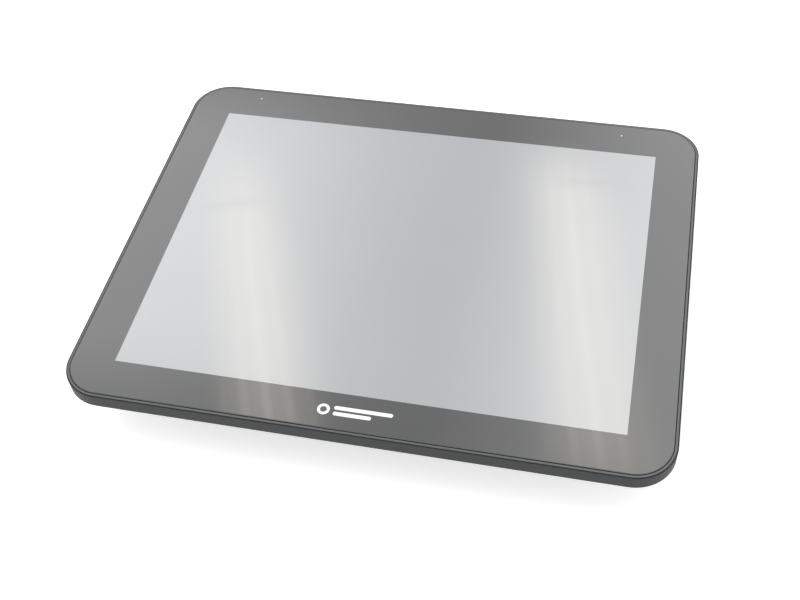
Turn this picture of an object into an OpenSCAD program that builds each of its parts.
// Touchscreen terminal head, lying on its back with the screen up.
// +X is to the user's right, +Y towards the top edge of the screen, +Z out of the screen.
// The origin is the middle of the footprint, on the plane of the rubber feet.

/* [Screen] */
// Width of the lit display area
active_w = 304.1; // [290:0.1:310]
// Height of the lit display area
active_d = 228.1; // [215:0.1:232]
// Printed border between the display area and the edge of the glass
border_w = 25.9; // [24:0.1:30]
// Thickness of the cover glass
glass_t = 2; // [1.5:0.1:3]
// Corner radius of the cover glass
glass_r = 22.5; // [16:0.5:28]

/* [Housing] */
// Height of the whole head, feet included
total_h = 46; // [46:0.5:52]
// Gap around the glass
glass_gap = 0.35; // [0.3:0.05:0.6]
// Width of the frame's lip, between the glass and the edge of the rear cover
lip_w = 1.4; // [0.8:0.1:1.5]
// Height of the upright side wall below the glass plane
side_h = 9.5; // [8.5:0.1:10]
// Wall thickness of the moulded housing
wall_t = 2.5; // [2.5:0.1:3]
// Width of the box on the back
hump_w = 272; // [270:1:276]
// Height of the box on the back
hump_d = 200; // [200:1:204]
// Corner radius of the box on the back
hump_r = 12; // [10:1:12]

/* [Fixing] */
// Spacing of the four threaded inserts on the back
vesa = 100; // [75:25:100]
// Middle of the insert pattern along Y
vesa_y = 8; // [6:1:10]
// Thread diameter of the inserts
insert_d = 4; // [4:1:5]
// Thickness of the rubber feet
foot_t = 2.5; // [2:0.1:3]

/* [Moving parts] */
// Height of the port cover above its hinge
flap_h = 19.3; // [17:0.1:19.3]
// Radius of the port cover's hinge barrel
barrel_r = 2; // [1.8:0.1:2]
// Radius of the power button
button_r = 6; // [5:0.5:6.5]

/* [Hidden] */
$fn = 48;

// outlines, from the glass outwards
glass_w = active_w + 2 * border_w;
glass_d = active_d + 2 * border_w;
pocket_w = glass_w + 2 * glass_gap;
pocket_d = glass_d + 2 * glass_gap;
lip_ow = pocket_w + 2 * lip_w;
lip_od = pocket_d + 2 * lip_w;
seam = 0.15;
edge_t = 0.6;
rim_w = lip_ow + 2 * (seam + edge_t);
rim_d = lip_od + 2 * (seam + edge_t);
rim_r = glass_r + glass_gap + lip_w + seam + edge_t;

// heights, from the feet upwards
z_back = foot_t;
z_floor = z_back + wall_t;
z_hump = 25;
z_rim = total_h - side_h;
z_glass = total_h - glass_t;
z_shelf = z_glass - 1;
z_lip = total_h - 0.3;
z_edge = total_h - 0.7;
chamfer = 1.5;
flank_lift = 1.9;

// display module, hanging under the glass
module_w = 326.5;
module_d = 253.5;
sheet_t = 0.4;
z_module = z_glass - 0.6;
z_cell = z_module - sheet_t - 1.4;
z_guide = z_cell - 3.6;
z_tray = z_guide - 1.1;
opening_w = module_w + 2.5;
opening_d = module_d + 2.5;

// chassis and mainboard
z_chassis = 32.6;
chassis_t = 1.2;
z_board = 26;
board_t = 1.6;
board_x = [-104, 104];
board_y = [-70.5, 78];
board_holes = [[-98, -62], [98, -62], [-98, 71], [98, 71], [40, 71], [14, -50]];
cpu = [-30, 8];
cpu_w = 32;

// port bay, open towards -Y, behind the port cover
bay_x = 94;
bay_y = -72;
hinge_y = -hump_d / 2 + barrel_r + 0.1;
hinge_z = z_back + barrel_r + 0.4;
pin_r = 1;

// ports: place along X, width, height
port_usb = [[-2, 14.5, 15.6], [17, 14.5, 15.6]];
port_com = [[-52, 31, 12.5], [55.5, 31, 12.5]];
port_lan = [-23, 16, 13.5];
port_video = [-75.4, 14.5, 6];
port_drawer = [80, 13, 11.5];
port_jack = [-88, 9, 11];
port_audio = [33.5, 7, 7];

// storage tray, sliding out towards +X
tray_y = [-8, 74];
tray_x = [33, hump_w / 2 - wall_t];
z_drive = 11.2;
face = [-12, 78, 10.6, 21.6];
ssd_y = -2;
ssd_t = 7;

// power button, pressed towards -X
button_y = -80;
button_z = 14;
wall_x = hump_w / 2 - wall_t;
pipe_y = button_y + 10.5;

// fasteners
side_screws = [[171, 80], [171, -80], [-171, 80], [-171, -80]];
edge_screws = [[90, 133.5], [-90, 133.5], [90, -133.5], [-90, -133.5]];
z_head = 36.2;
z_boss = 39.1;
feet = [[118, 84], [-118, 84], [118, -84], [-118, -84]];
speaker_x = 118;
speaker_y = -40;
bracket_y = 45;

plastic_dark = "#4a4b4d";
steel = "#b4b8bb";
pcb_green = "#1f6b45";
black = "#202022";

module rounded(w, d, r) {
    square([w - 2 * r, d], center = true);
    square([w, d - 2 * r], center = true);
    for (sx = [-1, 1], sy = [-1, 1])
        translate([sx * (w / 2 - r), sy * (d / 2 - r)]) circle(r);
}

module slab(w, d, r, z0, z1) {
    translate([0, 0, z0]) linear_extrude(z1 - z0) rounded(w, d, r);
}

module ring(w, d, r, inner_w, inner_d, inner_r, z0, z1) {
    translate([0, 0, z0]) linear_extrude(z1 - z0) difference() {
        rounded(w, d, r);
        rounded(inner_w, inner_d, inner_r);
    }
}

module block(x0, x1, y0, y1, z0, z1) {
    translate([x0, y0, z0]) cube([x1 - x0, y1 - y0, z1 - z0]);
}

module taper(w0, d0, r0, z0, w1, d1, r1, z1) {
    skin = 0.01;
    hull() {
        slab(w0, d0, r0, z0, z0 + skin, $fn = 32);
        slab(w1, d1, r1, z1 - skin, z1, $fn = 32);
    }
}

module peg(x, y, z0, z1, r) {
    translate([x, y, z0]) cylinder(h = z1 - z0, r = r);
}

// a rod along +X
module rod_x(x0, x1, y, z, r) {
    translate([x0, y, z]) rotate([0, 90, 0]) cylinder(h = x1 - x0, r = r);
}

// a screw standing on its head, with its shank upwards
module screw_up(x, y, z, head_r, head_h, shank_r, length) {
    difference() {
        peg(x, y, z - head_h, z, head_r);
        for (turn = [0, 90])
            translate([x, y, z - head_h]) rotate([0, 0, turn])
                cube([head_r, 0.7, head_h], center = true);
    }
    peg(x, y, z - 0.01, z + length, shank_r);
}

module cover_glass() {
    color("#2b2d30") slab(glass_w, glass_d, glass_r, z_glass, total_h);
}

module touch_sensor() {
    color("#9fb4bd") slab(active_w + 14, active_d + 14, 2, z_glass - 0.3, z_glass);
}

module touch_flex() {
    gap_y = -opening_d / 2 + 0.4;
    color("#b5742a") {
        block(60, 90, gap_y, -active_d / 2 - 6.5, z_glass - 0.45, z_glass - 0.3);
        block(60, 90, gap_y, gap_y + 0.3, z_tray - 1.6, z_glass - 0.3);
        block(60, 90, gap_y, -115, z_tray - 1.6, z_tray - 1.3);
    }
}

module touch_controller() {
    color(pcb_green) block(45, 105, -116, -98, z_tray - 1.2, z_tray);
    color(black) {
        block(70, 80, -108, -99, z_tray - 2.2, z_tray - 1.2);
        block(60, 90, -115, -110, z_tray - 2.3, z_tray - 1.2);
    }
}

module glass_gasket() {
    color(black) ring(glass_w - 2, glass_d - 2, glass_r - 1, opening_w + 2, opening_d + 2, 4,
        z_shelf, z_glass);
}

module front_frame() {
    tongue_w = rim_w - 2 * wall_t - 0.4;
    tongue_d = rim_d - 2 * wall_t - 0.4;
    tongue_r = rim_r - wall_t - 0.2;
    color("#6f7173") difference() {
        union() {
            slab(lip_ow, lip_od, rim_r - seam - edge_t, z_shelf - 1, z_lip);
            ring(tongue_w, tongue_d, tongue_r, tongue_w - 4, tongue_d - 4, tongue_r - 2,
                z_boss, z_shelf - 1);
            slab(tongue_w, tongue_d, tongue_r, z_shelf - 1.7, z_shelf - 1);
            for (p = concat(side_screws, edge_screws)) peg(p[0], p[1], z_boss, z_shelf - 1, 4);
        }
        slab(pocket_w, pocket_d, glass_r + glass_gap, z_shelf, total_h);
        slab(opening_w, opening_d, 3, z_boss - 1, total_h);
        for (p = concat(side_screws, edge_screws)) peg(p[0], p[1], z_boss - 1, z_shelf - 0.4, 1.3);
        for (sx = [-1, 1], sy = [-1, 1])
            peg(sx * 169.5, sy * bracket_y, z_boss, z_shelf - 0.4, 1);
    }
}

module lcd_bezel() {
    color(steel) {
        ring(module_w, module_d, 1.5, active_w + 2, active_d + 2, 0.5, z_module - sheet_t, z_module);
        ring(module_w, module_d, 1.5, module_w - 0.8, module_d - 0.8, 1.1,
            z_tray + 1.5, z_module - sheet_t);
    }
}

module lcd_cell() {
    color("#c9cccf") slab(active_w + 12, active_d + 13, 0.5, z_cell, z_cell + 1.4);
}

module lcd_midframe() {
    color("#e6e4dc") ring(module_w - 1, module_d - 1, 1, active_w + 10.2, active_d + 12.2, 0.5,
        z_tray + 0.8, z_cell);
}

module light_diffuser() {
    color("#f2f2ee") slab(active_w + 8, active_d + 6, 0.5, z_cell - 0.6, z_cell);
}

module light_guide() {
    color("#e3edf2") slab(active_w + 6, active_d + 5.5, 0.5, z_guide, z_cell - 0.6);
}

module reflector_sheet() {
    color("#ffffff") slab(active_w + 8, active_d + 10, 0.5, z_guide - 0.3, z_guide);
}

module led_bar() {
    bar_y = -active_d / 2 - 5.8;
    color("#d9d24a") {
        block(-150, 150, bar_y, bar_y + 1, z_guide, z_cell - 0.6);
        for (i = [-12 : 12])
            block(i * 12 - 2, i * 12 + 2, bar_y + 1, bar_y + 2.6, z_guide + 0.4, z_cell - 1);
    }
}

module lcd_tray() {
    color(steel) slab(module_w - 1, module_d - 1, 1, z_tray, z_tray + 0.8);
}

module timing_board() {
    color(pcb_green) block(-90, 90, 88, 114, z_tray - 1, z_tray);
    color(black) {
        block(-16, 16, 90, 96, z_tray - 2.5, z_tray - 1);
        block(-60, -46, 96, 110, z_tray - 2, z_tray - 1);
        block(40, 50, 98, 108, z_tray - 2, z_tray - 1);
    }
}

module display_cable() {
    top_z = z_tray - 2.1;
    low_z = z_board + board_t + 1.2;
    color("#e8e6df") {
        block(-13, 13, 84, 90, top_z, top_z + 0.4);
        block(-13, 13, 84, 84.4, low_z, top_z + 0.4);
        block(-13, 13, 72, 84.4, low_z, low_z + 0.4);
    }
}

module lcd_brackets() {
    z0 = z_chassis + chassis_t;
    flange_z = z_shelf - 1.7;
    color(steel) for (side = [0, 1]) mirror([side, 0, 0]) difference() {
        union() {
            block(126, 139.2, -55, 55, z0, z0 + 1.2);
            block(138, 139.2, -55, 55, z0, z_tray - 0.2);
            block(138, 165.7, -55, 55, z_tray - 1.4, z_tray - 0.2);
            block(164.7, 165.7, -55, 55, z_tray - 1.4, flange_z);
            block(164.7, 173, -55, 55, flange_z - 1.2, flange_z);
        }
        for (y = [-bracket_y, bracket_y]) {
            peg(169.5, y, flange_z - 2, flange_z + 1, 1.3);
            peg(131, y, z0 - 1, z0 + 2, 1.3);
        }
    }
}

module chassis_plate() {
    color("#a9adb0") difference() {
        slab(290, 190, 6, z_chassis, z_chassis + chassis_t);
        block(-18, 18, 80, 90, z_chassis - 1, z_chassis + 2);
        for (x = [-125 : 50 : 125], y = [-78, -30, 30])
            if (abs(x) < 120) peg(x, y, z_chassis - 1, z_chassis + 2, 6);
        for (p = board_holes) peg(p[0], p[1], z_chassis - 1, z_chassis + 2, 1.3);
        for (sx = [-1, 1], sy = [-1, 1])
            peg(sx * 131, sy * bracket_y, z_chassis - 1, z_chassis + 2, 1.3);
    }
}

module board_standoffs() {
    color("#c7a24a") for (p = board_holes) translate([p[0], p[1], z_board + board_t]) difference() {
        cylinder(h = z_chassis - z_board - board_t, r = 3, $fn = 6);
        translate([0, 0, -1]) cylinder(h = 4, r = 1.4);
    }
}

module mainboard() {
    color(pcb_green) difference() {
        block(board_x[0], board_x[1], board_y[0], board_y[1], z_board, z_board + board_t);
        for (p = board_holes) peg(p[0], p[1], z_board - 1, z_board + 3, 1.6);
    }
    color(black) {
        block(-16, 16, 66, 72, z_board + board_t, z_board + board_t + 2.4);
        block(-100, -78, 25, 29, z_board - 3.2, z_board);
        block(14, 26, -14, -2, z_board - 1.4, z_board);
        block(-92, -84, -36, -14, z_board - 6, z_board);
    }
    color("#5b5e63") for (i = [0 : 3]) block(-66 + i * 14, -56 + i * 14, 58, 68, z_board - 5, z_board);
    color("#39425c") for (i = [0 : 5]) peg(24 + i * 11, -38, z_board - 8, z_board, 4);
}

module processor() {
    color("#8d9296") block(cpu[0] - cpu_w / 2, cpu[0] + cpu_w / 2, cpu[1] - cpu_w / 2,
        cpu[1] + cpu_w / 2, z_board - 1.8, z_board);
}

module thermal_pad() {
    color("#c9d6e8") block(cpu[0] - 14, cpu[0] + 14, cpu[1] - 14, cpu[1] + 14,
        z_board - 2.3, z_board - 1.8);
}

module heat_sink() {
    base_z = z_board - 5.3;
    half_x = 40;
    half_y = 42;
    color("#7f8a91") {
        block(cpu[0] - half_x, cpu[0] + half_x, cpu[1] - half_y, cpu[1] + half_y,
            base_z, base_z + 3);
        for (i = [0 : 12]) {
            fin_x = cpu[0] - half_x + i * (2 * half_x - 1.2) / 12;
            block(fin_x, fin_x + 1.2, cpu[1] - half_y, cpu[1] + half_y, base_z - 12, base_z);
        }
    }
}

module memory_module() {
    color(pcb_green) block(37, 104, 18, 48, z_board - 2.4, z_board - 1.2);
    color(black) for (i = [0 : 3]) block(41 + i * 16, 52 + i * 16, 24, 38, z_board - 3.4, z_board - 2.4);
}

module memory_socket() {
    color("#e9e7df") block(36, 104, 48, 53, z_board - 3.6, z_board);
}

module drive_riser() {
    color(pcb_green) block(27.4, 29, 4, 62, z_drive + 1, z_board);
    color(black) block(29, 32.8, 14, 52, z_drive + 2, z_drive + 7);
}

module ssd() {
    color("#3c4046") block(33, 132.8, ssd_y, ssd_y + 70, z_drive + 1, z_drive + 1 + ssd_t);
}

module storage_tray() {
    color("#55575a") difference() {
        union() {
            block(tray_x[0], tray_x[1], tray_y[0], tray_y[1], z_drive, z_drive + 1);
            for (y = [tray_y[0], tray_y[1] - 1.2])
                block(tray_x[0], tray_x[1], y, y + 1.2, z_drive, z_drive + 8);
            block(wall_x, hump_w / 2, face[0], face[1], face[2], face[3]);
            block(wall_x - 0.6, wall_x, tray_y[0], tray_y[1], z_drive, z_drive + 8);
        }
        // finger scoop in the face, and screw holes under the drive
        block(hump_w / 2 - 1.3, hump_w / 2 + 1, 22, 44, face[2] + 2.6, face[3] - 2.6);
        for (x = [47, 123], y = [ssd_y + 4, ssd_y + 66]) peg(x, y, z_drive - 1, z_drive + 2, 1.6);
    }
}

module tray_rails() {
    gap = 0.3;
    color("#c8c9c4") for (s = [-1, 1]) {
        edge_y = s < 0 ? tray_y[0] - gap : tray_y[1] + gap;
        y0 = min(edge_y, edge_y + s * 1.4);
        block(40, 128, y0, y0 + 1.4, z_floor, z_drive + 6);
        block(40, 128, min(edge_y + s, edge_y - s * 3), max(edge_y + s, edge_y - s * 3),
            z_drive - 1.2, z_drive - 0.2);
    }
}

module wifi_card() {
    color(pcb_green) block(-100, -78, -5, 25, z_board - 2.4, z_board - 1.6);
    color(steel) block(-97, -81, 2, 18, z_board - 3.6, z_board - 2.4);
    color("#c7a24a") peg(-89, -3.2, z_board - 1.6, z_board, 1.4);
}

module antennas() {
    wall_y = hump_d / 2 - wall_t;
    color("#24262a") for (x = [-112, 112]) block(x - 9, x + 9, wall_y - 1, wall_y, 9, 19);
}

module coin_cell() {
    color(steel) peg(-88, 50, z_board - 4.4, z_board - 1.2, 9.9);
}

module cell_holder() {
    color(black) difference() {
        peg(-88, 50, z_board - 4, z_board, 11.6);
        peg(-88, 50, z_board - 5, z_board - 1.2, 10);
        block(-82, -70, 46, 54, z_board - 5, z_board - 1.2);
    }
}

// shell of a port whose mouth faces -Y
module port_shell(p, depth) {
    block(p[0] - p[1] / 2, p[0] + p[1] / 2, bay_y - 1.2, bay_y - 1.2 + depth, z_board - p[2], z_board);
}

module port_mouth(p, w, h, depth, z_mid) {
    block(p[0] - w / 2, p[0] + w / 2, bay_y - 3, bay_y - 1.2 + depth, z_mid - h / 2, z_mid + h / 2);
}

module lan_port() {
    p = port_lan;
    color(steel) difference() {
        port_shell(p, 21);
        port_mouth(p, 11.8, 8, 12, z_board - 6);
        port_mouth(p, 5, 3, 12, z_board - 11);
    }
}

module drawer_port() {
    p = port_drawer;
    color("#33353a") difference() {
        port_shell(p, 16);
        port_mouth(p, 9.8, 6.8, 11, z_board - 5.2);
        port_mouth(p, 4, 2.4, 11, z_board - 9.4);
    }
}

module usb_ports() {
    color(steel) for (p = port_usb) difference() {
        port_shell(p, 17);
        for (dz = [4.3, 11.3]) port_mouth(p, 12.6, 5.2, 10, z_board - dz);
    }
    color("#2857a8") for (p = port_usb, dz = [3.4, 10.4])
        block(p[0] - 5.6, p[0] + 5.6, bay_y - 0.4, bay_y + 9, z_board - dz - 0.9, z_board - dz + 0.4);
}

module com_ports() {
    for (p = port_com) {
        color(steel) difference() {
            port_shell(p, 14);
            port_mouth(p, 18, 9, 7, z_board - 6.2);
        }
        color(black) difference() {
            block(p[0] - 7.6, p[0] + 7.6, bay_y - 0.6, bay_y + 6, z_board - 9.6, z_board - 2.8);
        }
        for (s = [-1, 1])
            color("#c7a24a") translate([p[0] + s * 12.5, bay_y - 1.2, z_board - 6.2]) rotate([90, 0, 0])
                cylinder(h = 3, r = 2.3, $fn = 6);
    }
}

module video_port() {
    p = port_video;
    color(steel) difference() {
        port_shell(p, 11);
        port_mouth(p, 13.2, 4.6, 7, z_board - 3);
    }
    color(black) block(p[0] - 5.5, p[0] + 5.5, bay_y - 0.4, bay_y + 6, z_board - 3.4, z_board - 2.4);
}

module power_jack() {
    p = port_jack;
    color(black) difference() {
        port_shell(p, 14);
        translate([p[0], bay_y - 2, z_board - 6.2]) rotate([-90, 0, 0]) cylinder(h = 10, r = 3.2);
    }
    color(steel) translate([p[0], bay_y - 0.6, z_board - 6.2]) rotate([-90, 0, 0])
        cylinder(h = 9, r = 1);
}

module audio_jack() {
    p = port_audio;
    color("#2f8a4e") difference() {
        port_shell(p, 12);
        translate([p[0], bay_y - 2, z_board - 3.6]) rotate([-90, 0, 0]) cylinder(h = 10, r = 1.8);
    }
}

module io_bracket() {
    slack = 0.15;
    all_ports = concat(port_usb, port_com,
        [port_lan, port_video, port_drawer, port_jack, port_audio]);
    color(steel) difference() {
        block(-bay_x + 0.4, bay_x - 0.4, bay_y, bay_y + 1, z_floor + 0.1, z_board);
        for (p = all_ports)
            block(p[0] - p[1] / 2 - slack, p[0] + p[1] / 2 + slack, bay_y - 1, bay_y + 2,
                z_board - p[2] - slack, z_board + 1);
    }
}

module power_button() {
    color("#3a3b3d") difference() {
        union() {
            rod_x(wall_x - 0.4, hump_w / 2 + 0.9, button_y, button_z, button_r);
            rod_x(wall_x - 1.6, wall_x - 0.3, button_y, button_z, button_r + 1.2);
            rod_x(wall_x - 4.1, wall_x - 1.5, button_y, button_z, 2);
        }
        translate([hump_w / 2 + 0.9, button_y, button_z]) rotate([0, 90, 0])
            rotate_extrude() translate([3, 0]) circle(0.35);
    }
}

module button_dome() {
    color("#8e9296") translate([wall_x - 7.1, button_y, button_z]) rotate([0, 90, 0])
        rotate_extrude() polygon([[0, 2.2], [0, 3], [2.2, 3], [3.8, 0.6], [4.6, 0.6], [4.6, 0],
            [3.2, 0], [1.8, 2.2]]);
}

module button_board() {
    x1 = wall_x - 8.9;
    color(pcb_green) block(x1 - 1.6, x1, -92, -65, 6.5, 21.5);
    color(black) {
        block(x1, x1 + 1.8, button_y - 5, button_y + 5, button_z - 5, button_z + 5);
        block(x1, x1 + 0.8, pipe_y - 1, pipe_y + 1, button_z - 1, button_z + 1);
    }
}

module light_pipe() {
    color("#d8f0ff") rod_x(wall_x - 8, hump_w / 2 + 0.3, pipe_y, button_z, 1.2);
}

module speakers() {
    for (s = [-1, 1]) translate([s * speaker_x, speaker_y, 0]) {
        color(black) difference() {
            block(-11, 11, -21, 21, z_floor + 0.8, z_floor + 12);
            translate([0, 0, z_floor]) linear_extrude(2.2) rounded(17, 36, 8);
        }
        color("#55575a") translate([0, 0, z_floor + 2]) linear_extrude(1.1) rounded(10, 28, 4.8);
    }
}

module speaker_gaskets() {
    color("#3d3f42") for (s = [-1, 1]) translate([s * speaker_x, speaker_y, 0])
        ring(21, 41, 4, 17, 36, 6, z_floor, z_floor + 0.8);
}

module cover_outer() {
    taper(hump_w - 2 * chamfer, hump_d - 2 * chamfer, hump_r - chamfer, z_back,
        hump_w, hump_d, hump_r, z_back + chamfer);
    slab(hump_w, hump_d, hump_r, z_back + chamfer, z_hump);
    taper(hump_w, hump_d, hump_r, z_hump, rim_w, rim_d, rim_r, z_rim);
    slab(rim_w, rim_d, rim_r, z_rim, z_edge);
}

module cover_inner() {
    in_w = hump_w - 2 * wall_t;
    in_d = hump_d - 2 * wall_t;
    slab(in_w, in_d, hump_r - wall_t, z_floor, z_hump + flank_lift);
    taper(in_w, in_d, hump_r - wall_t, z_hump + flank_lift, rim_w - 2 * wall_t, rim_d - 2 * wall_t,
        rim_r - wall_t, z_rim + flank_lift);
    slab(rim_w - 2 * wall_t, rim_d - 2 * wall_t, rim_r - wall_t, z_rim + flank_lift, z_edge + 1);
    slab(rim_w - 2 * edge_t, rim_d - 2 * edge_t, rim_r - edge_t, z_shelf - 1.1, z_edge + 1);
}

module cover_cuts() {
    // port bay, its mouth, and the slot that the hinge barrel sits in
    block(-bay_x, bay_x, -hump_d / 2 + wall_t - 1, bay_y, z_floor, z_board + 0.2);
    block(-bay_x, bay_x, -hump_d / 2 - 1, -hump_d / 2 + wall_t, z_floor, hinge_z + flap_h + 0.4);
    block(-bay_x, bay_x, -hump_d / 2 - 1, hinge_y + barrel_r + 0.3, z_back - 1, z_floor + 0.1);
    rod_x(-bay_x - 2, bay_x + 2, hinge_y, hinge_z, pin_r);
    // storage tray opening
    block(wall_x - 1, hump_w / 2 + 1, face[0] - 0.3, face[1] + 0.3, face[2] - 0.2, face[3] + 0.2);
    // button, light pipe
    rod_x(wall_x - 1, hump_w / 2 + 1, button_y, button_z, button_r + 0.25);
    rod_x(wall_x - 1, hump_w / 2 + 1, pipe_y, button_z, 1.25);
    // warm air outlets in the top wall, and intake slots in the back
    for (i = [-9 : 9]) block(i * 9 - 1.5, i * 9 + 1.5, hump_d / 2 - wall_t - 1, hump_d / 2 + 1, 8, 20);
    for (i = [-5 : 5]) block(cpu[0] + i * 7 - 1.2, cpu[0] + i * 7 + 1.2, -22, 38, z_back - 1, z_floor + 1);
    // speaker grilles
    for (s = [-1, 1], i = [-4 : 4])
        block(s * speaker_x - 7, s * speaker_x + 7, speaker_y + i * 3.8 - 0.8,
            speaker_y + i * 3.8 + 0.8, z_back - 1, z_floor + 1);
    // seats for the label and the feet
    block(-30, 30, 66, 90, z_back - 1, z_back + 0.3);
    for (p = feet) peg(p[0], p[1], z_back - 1, z_back + 0.6, 9);
    for (sx = [-1, 1], sy = [-1, 1])
        peg(sx * vesa / 2, vesa_y + sy * vesa / 2, z_back - 1, z_floor + 5, 3.2);
    for (p = concat(side_screws, edge_screws)) {
        peg(p[0], p[1], z_back, z_head, 3.4);
        peg(p[0], p[1], z_head - 1, z_boss + 1, 1.7);
    }
}

module cover_ribs() {
    // walls and ceiling of the port bay
    for (s = [-1, 1])
        block(min(s * bay_x, s * (bay_x + 2)), max(s * bay_x, s * (bay_x + 2)),
            -hump_d / 2 + 1, bay_y + 1, z_floor - 1, z_board + 2.2);
    block(-bay_x - 2, bay_x + 2, -hump_d / 2 - 3.6, bay_y + 0.8, z_board + 0.2, z_board + 2.2);
    // bosses for the threaded inserts
    for (sx = [-1, 1], sy = [-1, 1])
        peg(sx * vesa / 2, vesa_y + sy * vesa / 2, z_floor - 1, z_floor + 5, 5.2);
    // posts that hold the button board
    for (y = [-92, -69]) block(wall_x - 13.5, wall_x - 10.5, y, y + 4, z_floor - 1, 21.5);
    // screw bosses under the rim
    intersection() {
        union() for (p = concat(side_screws, edge_screws)) peg(p[0], p[1], z_hump, z_boss, 4.8);
        cover_outer();
    }
}

module rear_cover() {
    color(plastic_dark) difference() {
        union() {
            difference() {
                cover_outer();
                cover_inner();
            }
            cover_ribs();
        }
        cover_cuts();
    }
}

module port_cover() {
    x1 = bay_x - 0.4;
    y0 = -hump_d / 2;
    color("#454648") difference() {
        union() {
            block(-x1, x1, y0, y0 + 2, hinge_z, hinge_z + flap_h);
            rod_x(-x1, x1, hinge_y, hinge_z, barrel_r);
            for (x = [-80, 80])
                block(x - 4, x + 4, y0 + 1.9, y0 + 3.4, hinge_z + flap_h - 2, hinge_z + flap_h);
        }
        rod_x(-x1 - 1, -x1 + 5, hinge_y, hinge_z, pin_r + 0.15);
        rod_x(x1 - 5, x1 + 1, hinge_y, hinge_z, pin_r + 0.15);
        // two cable exits in the free edge
        for (x = [-62, 12])
            block(x, x + 50, y0 - 1, y0 + 3, hinge_z + flap_h - 9, hinge_z + flap_h + 1);
    }
}

module hinge_pins() {
    color(steel) for (s = [-1, 1])
        rod_x(min(s * (bay_x - 4.6), s * (bay_x + 1.9)), max(s * (bay_x - 4.6), s * (bay_x + 1.9)),
            hinge_y, hinge_z, pin_r);
}

module vesa_inserts() {
    color("#c7a24a") for (sx = [-1, 1], sy = [-1, 1])
        translate([sx * vesa / 2, vesa_y + sy * vesa / 2, z_back]) difference() {
            cylinder(h = wall_t + 4.5, r = 3.2);
            translate([0, 0, -1]) cylinder(h = wall_t + 4, r = insert_d / 2);
        }
}

module blank_label() {
    color("#c9cbcc") block(-29.8, 29.8, 66.2, 89.8, z_back, z_back + 0.3);
}

module rubber_feet() {
    color(black) for (p = feet) {
        peg(p[0], p[1], 0, z_back + 0.6, 8.9);
    }
}

module cover_screws() {
    color("#2a2b2d") for (p = concat(side_screws, edge_screws))
        screw_up(p[0], p[1], z_head, 3.1, 1.7, 1.3, 5.6);
}

module board_screws() {
    color(steel) for (p = board_holes) screw_up(p[0], p[1], z_board, 2.8, 1.6, 1.4, 4.4);
}

module bracket_screws() {
    flange_z = z_shelf - 1.7;
    plate_z = z_chassis + chassis_t + 1.2;
    color(steel) for (sx = [-1, 1], sy = [-1, 1]) {
        screw_up(sx * 169.5, sy * bracket_y, flange_z - 1.2, 2.2, 1, 1, 2.4);
        translate([0, 0, 2 * plate_z]) mirror([0, 0, 1])
            screw_up(sx * 131, sy * bracket_y, plate_z, 2.4, 0.9, 1.3, 2.4);
    }
}

module ssd_screws() {
    color(steel) for (x = [47, 123], y = [ssd_y + 4, ssd_y + 66])
        screw_up(x, y, z_drive, 2.2, 0.6, 1.3, 1);
}

cover_glass();
touch_sensor();
touch_flex();
touch_controller();
glass_gasket();
front_frame();
lcd_bezel();
lcd_cell();
lcd_midframe();
light_diffuser();
light_guide();
reflector_sheet();
led_bar();
lcd_tray();
timing_board();
display_cable();
lcd_brackets();
chassis_plate();
board_standoffs();
mainboard();
processor();
thermal_pad();
heat_sink();
memory_module();
memory_socket();
drive_riser();
ssd();
storage_tray();
tray_rails();
wifi_card();
antennas();
coin_cell();
cell_holder();
power_jack();
lan_port();
usb_ports();
com_ports();
video_port();
drawer_port();
audio_jack();
io_bracket();
power_button();
button_dome();
button_board();
light_pipe();
speakers();
speaker_gaskets();
rear_cover();
port_cover();
hinge_pins();
vesa_inserts();
blank_label();
rubber_feet();
cover_screws();
board_screws();
bracket_screws();
ssd_screws();
